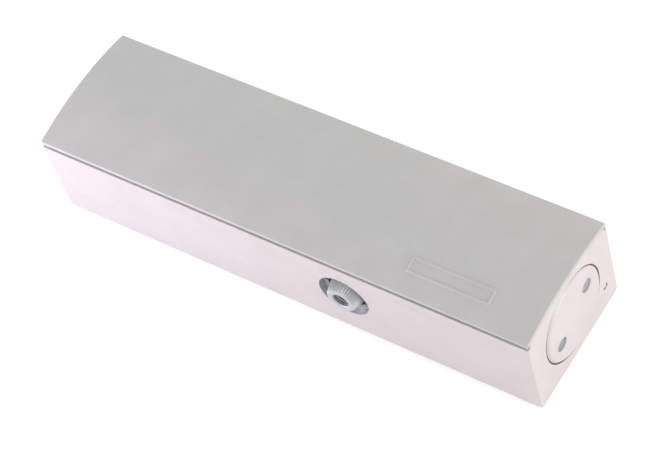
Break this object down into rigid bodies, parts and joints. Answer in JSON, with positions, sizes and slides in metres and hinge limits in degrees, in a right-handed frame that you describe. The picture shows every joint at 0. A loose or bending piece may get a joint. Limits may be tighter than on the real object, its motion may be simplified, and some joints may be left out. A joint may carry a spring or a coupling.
{
  "type": "door closer",
  "caption": "Surface-mounted door closer body: crowned front cover, rack and pinion drive with a serrated double-ended spindle, closing spring and adjustable hydraulic damping.",
  "frame": {"origin": "middle of the flat mounting face, which the closer lies on", "axes": "+X along the body to the damping end, +Y up the door towards the upper spindle end, +Z out of the mounting face towards the crowned front"},
  "size_m": [0.2292, 0.0648, 0.0487],
  "materials": {
    "body_paint": "satin silver-grey powder coat",
    "cover_paint": "satin silver-grey powder coat",
    "spindle_steel": "turned, bright end face",
    "ring_steel": "zinc plated, dull",
    "bare_steel": "turned",
    "ground_steel": "ground, oiled",
    "spring_steel": "oil-tempered wire",
    "brass": "machined",
    "rubber": "matt nitrile"
  },
  "bodies": {
    "closer_body": {"housing": "body_paint", "stud_grommets": "rubber", "damping_end_plug": "body_paint", "damping_plug_seal": "rubber", "spring_end_plug": "body_paint", "spring_plug_seal": "rubber", "closing_spring": "spring_steel", "lower_bearing_cup": "spring_steel", "lower_bearing_needles": "ground_steel", "lower_shaft_seal": "rubber", "lower_bearing_ring": "ring_steel", "upper_bearing_cup": "spring_steel", "upper_bearing_needles": "ground_steel", "upper_shaft_seal": "rubber", "upper_bearing_ring": "ring_steel", "oil_duct_balls": "body_paint"},
    "pinion": {"pinion_shaft": "spindle_steel"},
    "piston": {"piston": "ground_steel", "check_valve_retainer": "brass", "relief_spring": "spring_steel", "relief_screw": "brass"},
    "check_ball": {"check_ball": "ground_steel"},
    "relief_ball": {"relief_ball": "ground_steel"},
    "adjuster": {"adjusting_screw": "bare_steel", "adjusting_screw_seal": "rubber", "adjusting_screw_clip": "spring_steel"},
    "spring_plate": {"spring_plate": "bare_steel"},
    "closing_speed_valve": {"closing_speed_valve": "brass", "closing_valve_seal": "rubber"},
    "latching_speed_valve": {"latching_speed_valve": "brass", "latching_valve_seal": "rubber"},
    "cover": {"front_cover": "cover_paint", "cover_studs": "bare_steel"}
  },
  "joints": [
    {"name": "pinion_turn", "type": "hinge", "parent": "closer_body", "child": "pinion", "pos_m": [0.0286, 0, 0.0229], "axis": [0, -1, 0], "range_deg": [0, 180]},
    {"name": "piston_travel", "type": "slide", "parent": "closer_body", "child": "piston", "axis": [-1, 0, 0], "range_m": [0, 0.02827], "stiffness_N_per_m": 250, "springref_m": -0.009, "deforming": ["closing_spring"]},
    {"name": "check_ball_lift", "type": "slide", "parent": "piston", "child": "check_ball", "axis": [1, 0, 0], "range_m": [0, 0.0008]},
    {"name": "relief_ball_lift", "type": "slide", "parent": "piston", "child": "relief_ball", "axis": [-1, 0, 0], "range_m": [0, 0.0006], "stiffness_N_per_m": 2, "springref_m": -0.001, "deforming": ["relief_spring"]},
    {"name": "adjusting_screw_turn", "type": "hinge", "parent": "closer_body", "child": "adjuster", "pos_m": [-0.1, 0, 0.0241], "axis": [-1, 0, 0], "range_deg": [0, 2160]},
    {"name": "spring_plate_travel", "type": "slide", "parent": "closer_body", "child": "spring_plate", "axis": [1, 0, 0], "range_m": [0, 0.012]},
    {"name": "closing_speed_turn", "type": "hinge", "parent": "closer_body", "child": "closing_speed_valve", "pos_m": [0.09, 0.0228, 0.04], "axis": [0, 0, 1], "range_deg": [0, 720]},
    {"name": "latching_speed_turn", "type": "hinge", "parent": "closer_body", "child": "latching_speed_valve", "pos_m": [0.0985, 0.0228, 0.04], "axis": [0, 0, 1], "range_deg": [0, 720]},
    {"name": "cover_lift", "type": "slide", "parent": "closer_body", "child": "cover", "axis": [0, 0, 1], "range_m": [0, 0.03]}
  ],
  "couplings": [
    {"joint": "pinion_turn", "follows": "piston_travel", "rad_per_m": 111.11},
    {"joint": "adjusting_screw_turn", "follows": "spring_plate_travel", "rad_per_m": 3141.6}
  ]
}
